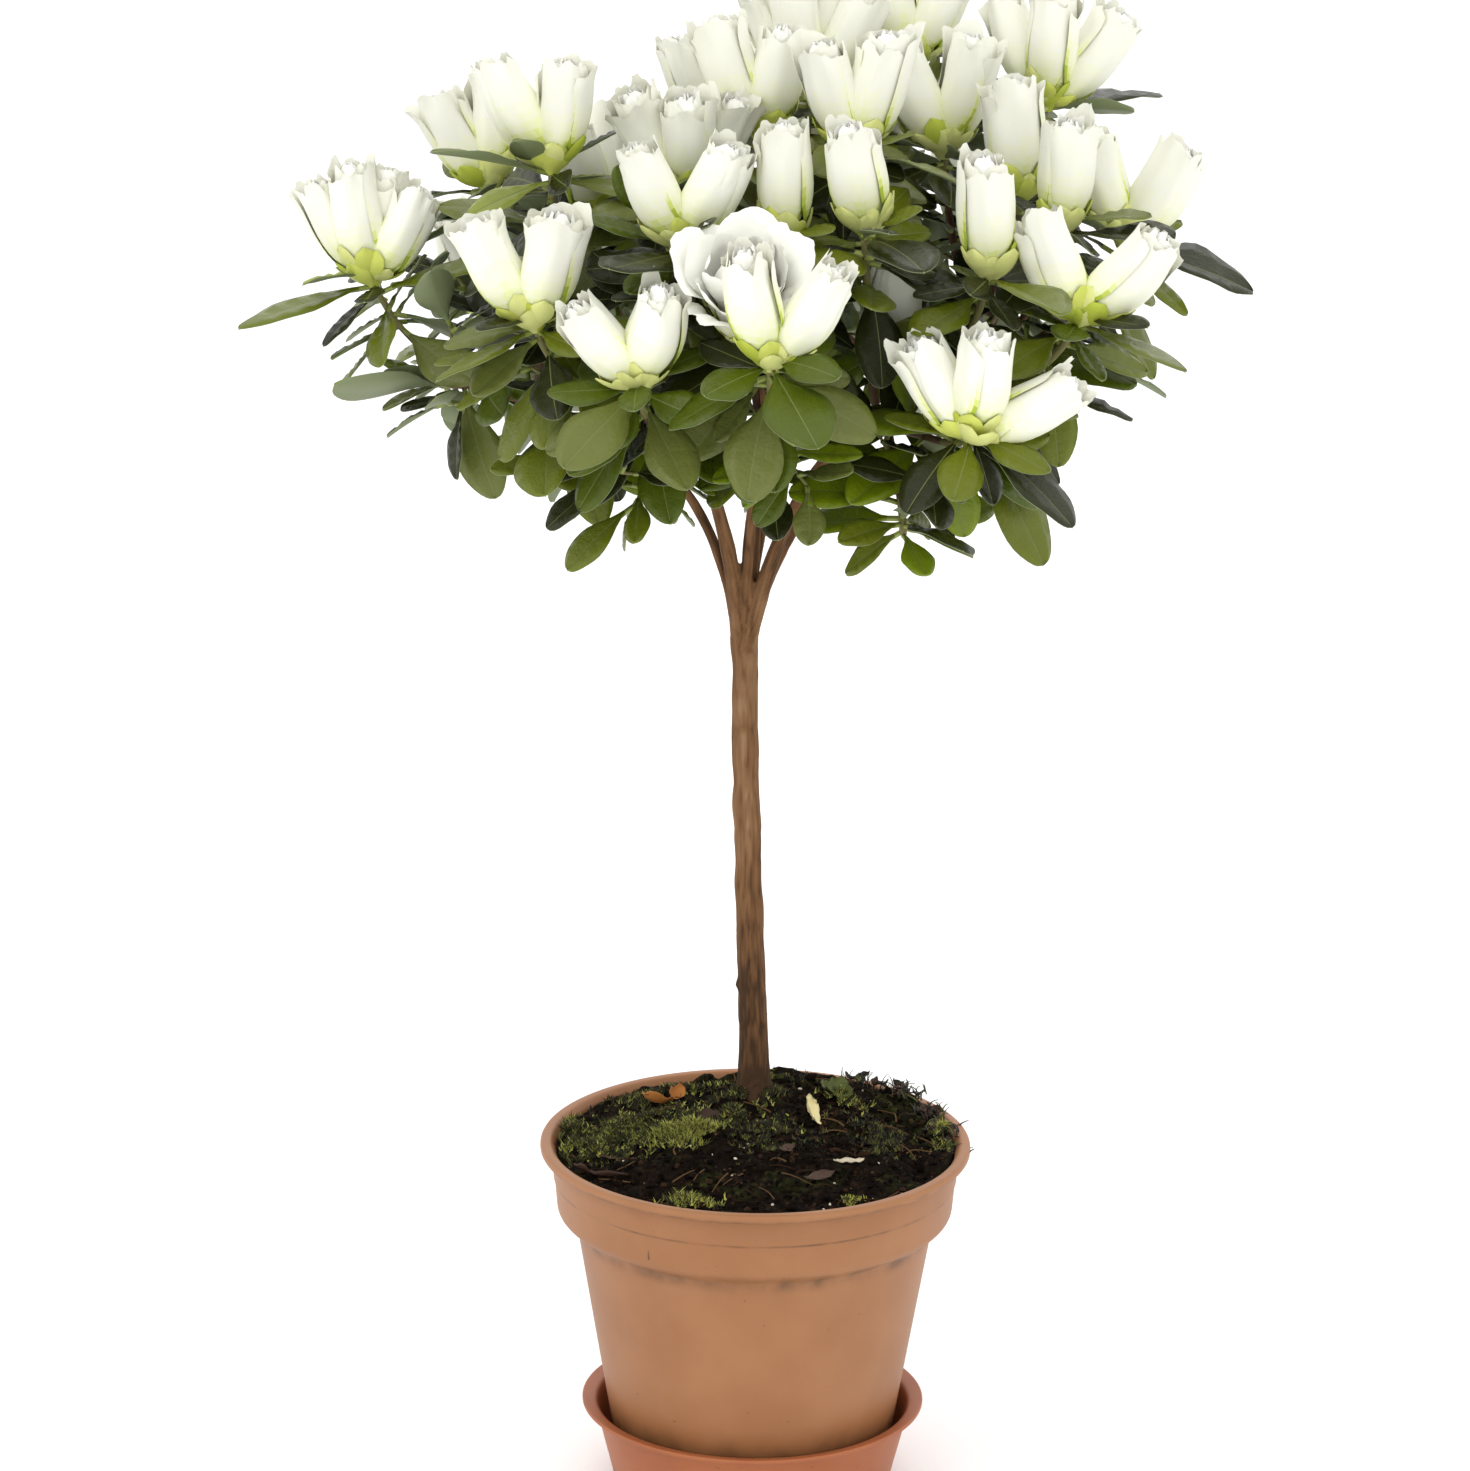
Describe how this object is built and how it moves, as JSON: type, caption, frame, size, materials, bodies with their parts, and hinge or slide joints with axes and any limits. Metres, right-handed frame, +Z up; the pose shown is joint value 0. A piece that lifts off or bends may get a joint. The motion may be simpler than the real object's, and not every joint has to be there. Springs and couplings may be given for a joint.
{
  "type": "potted azalea shrub",
  "caption": "Azalea grown on a bare stem, with a low dome of dark leaves and opening white double flowers, in a round plastic pot that stands in a saucer.",
  "frame": {"origin": "on the ground, at the middle of the saucer's flat underside", "axes": "+Z up along the pot's axis, -Y towards the viewer of the front, +X to the viewer's right"},
  "size_m": [0.3193, 0.2872, 0.4937],
  "materials": {
    "bark": "rough brown bark",
    "foliage": "dark green leaves and white flowers",
    "soil": "dark crumbly compost",
    "pot": "satin terracotta-coloured plastic",
    "saucer": "satin terracotta-coloured plastic"
  },
  "bodies": {
    "root": {"saucer": "saucer", "pot": "pot", "soil": "soil", "trunk": "bark", "bough_left": "bark", "bough_front_left": "bark", "bough_front": "bark", "bough_front_right": "bark", "bough_right": "bark", "bough_top": "bark", "bough_back_right": "bark", "bough_back_left": "bark", "mass_left": "foliage", "mass_front_left": "foliage", "mass_front": "foliage", "mass_front_right": "foliage", "mass_right": "foliage", "mass_top": "foliage", "mass_back_right": "foliage", "mass_back_left": "foliage"}
  },
  "joints": []
}
